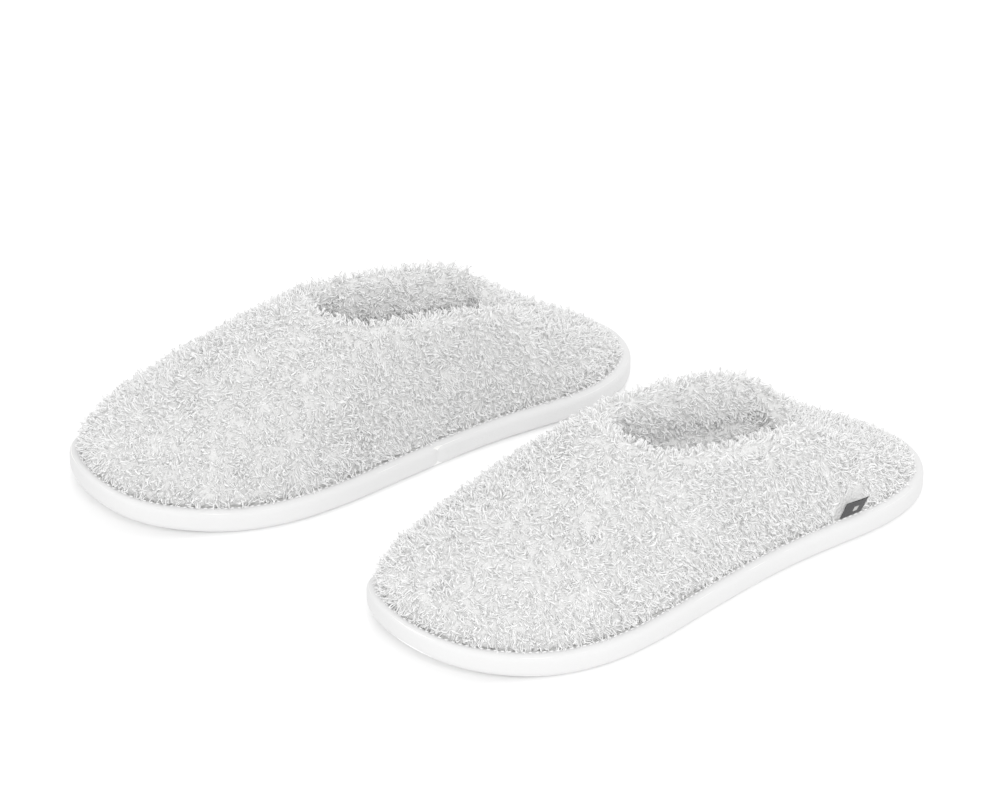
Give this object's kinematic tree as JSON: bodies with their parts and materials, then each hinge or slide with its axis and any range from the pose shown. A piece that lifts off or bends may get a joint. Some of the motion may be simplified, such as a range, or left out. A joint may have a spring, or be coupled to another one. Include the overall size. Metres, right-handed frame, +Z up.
{
  "type": "terry spa slippers",
  "caption": "Pair of closed-toe, closed-heel terry spa slippers with a padded upper, a bound sole with a slight toe spring and a woven label at one heel.",
  "frame": {"origin": "on the floor, under the middle of the pair's bounding box", "axes": "+Z up from the floor; +Y from the toes to the heels, along the mean direction of the two slippers; +X to the wearer's left, so the left slipper is on +X"},
  "size_m": [0.2786, 0.3398, 0.078],
  "materials": {
    "terry": "long-loop cotton terry, matt, off-white",
    "lining": "short-loop terry lining, matt white",
    "binding": "smooth knitted binding tape, matt white",
    "foam": "open-cell padding foam, matt white",
    "board": "pressed fibre board, matt light grey",
    "outsole": "tight woven sole cloth, matt white",
    "dots": "moulded soft rubber, satin off-white",
    "label": "woven ribbon, dark grey"
  },
  "bodies": {
    "right_slipper": {"right_footbed_foam": "foam", "right_grip_dots": "dots", "right_heel_collar": "terry", "right_heel_lining": "lining", "right_heel_padding": "foam", "right_heel_terry": "terry", "right_insole_board": "board", "right_insole_terry": "terry", "right_midsole_foam": "foam", "right_outsole": "outsole", "right_sole_binding": "binding", "right_vamp_collar": "terry", "right_vamp_lining": "lining", "right_vamp_padding": "foam", "right_vamp_terry": "terry"},
    "left_slipper": {"left_footbed_foam": "foam", "left_grip_dots": "dots", "left_heel_collar": "terry", "left_heel_lining": "lining", "left_heel_padding": "foam", "left_heel_terry": "terry", "left_insole_board": "board", "left_insole_terry": "terry", "left_midsole_foam": "foam", "left_outsole": "outsole", "left_sole_binding": "binding", "left_vamp_collar": "terry", "left_vamp_lining": "lining", "left_vamp_padding": "foam", "left_vamp_terry": "terry"},
    "label": {"left_label_tab": "label"}
  },
  "joints": [
    {"name": "left_slipper_lift", "type": "slide", "parent": "right_slipper", "child": "left_slipper", "axis": [0, 0, 1], "range_m": [0, 0.12]},
    {"name": "label_fold", "type": "hinge", "parent": "left_slipper", "child": "label", "pos_m": [0.11183, 0.11342, 0.0124], "axis": [-0.069, 0.9976, 0], "range_deg": [-20, 50], "stiffness_Nm_per_rad": 0.0005}
  ]
}
